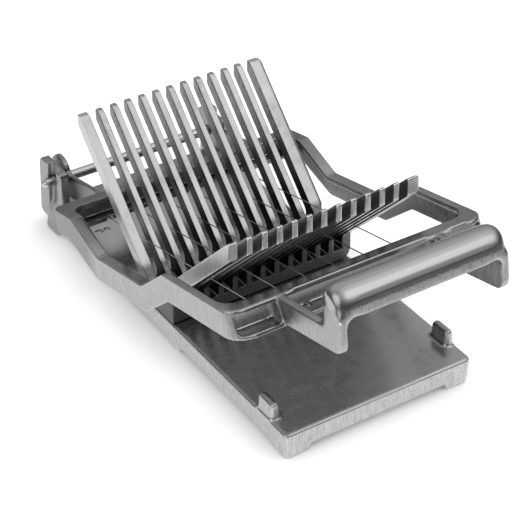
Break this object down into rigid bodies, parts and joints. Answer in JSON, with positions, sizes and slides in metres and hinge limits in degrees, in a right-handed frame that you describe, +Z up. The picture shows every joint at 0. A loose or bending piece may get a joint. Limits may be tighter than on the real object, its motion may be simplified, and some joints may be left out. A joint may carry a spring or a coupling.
{
  "type": "wire cheese cutter",
  "caption": "Table-top cheese cutter: a ribbed V cradle on a flat base, and a hinged frame whose wires pass down through the slots between the ribs.",
  "frame": {"origin": "middle of the part's box, on the ground", "axes": "+Z up, -Y towards the handle, +X to the right when facing the handle's side from the front"},
  "size_m": [0.167, 0.3154, 0.1233],
  "materials": {
    "cast_aluminium": "as cast, with sanded and polished faces",
    "cradle_aluminium": "as cast, tumbled",
    "rod_steel": "ground",
    "wire_steel": "drawn",
    "zinc_steel": "zinc plated"
  },
  "bodies": {
    "base": {"base_casting": "cast_aluminium", "cradle": "cradle_aluminium", "cradle_screw_1": "zinc_steel", "cradle_screw_2": "zinc_steel", "cradle_screw_3": "zinc_steel", "cradle_screw_4": "zinc_steel", "pivot_rod": "rod_steel"},
    "arm": {"cutting_arm": "cast_aluminium", "wire_1": "wire_steel", "wire_2": "wire_steel", "wire_3": "wire_steel", "wire_4": "wire_steel", "wire_5": "wire_steel", "wire_6": "wire_steel", "wire_anchor_1": "wire_steel", "wire_anchor_2": "wire_steel", "wire_anchor_3": "wire_steel", "wire_anchor_4": "wire_steel", "wire_anchor_5": "wire_steel", "wire_anchor_6": "wire_steel", "tension_screw_1": "zinc_steel", "tension_screw_2": "zinc_steel", "tension_screw_3": "zinc_steel", "tension_screw_4": "zinc_steel", "tension_screw_5": "zinc_steel", "tension_screw_6": "zinc_steel", "tension_nut_1": "zinc_steel", "tension_nut_2": "zinc_steel", "tension_nut_3": "zinc_steel", "tension_nut_4": "zinc_steel", "tension_nut_5": "zinc_steel", "tension_nut_6": "zinc_steel"}
  },
  "joints": [
    {"name": "arm_hinge", "type": "hinge", "parent": "base", "child": "arm", "pos_m": [0, 0.14148, 0.0341], "axis": [-1, 0, 0], "range_deg": [-11.2, 87]}
  ]
}
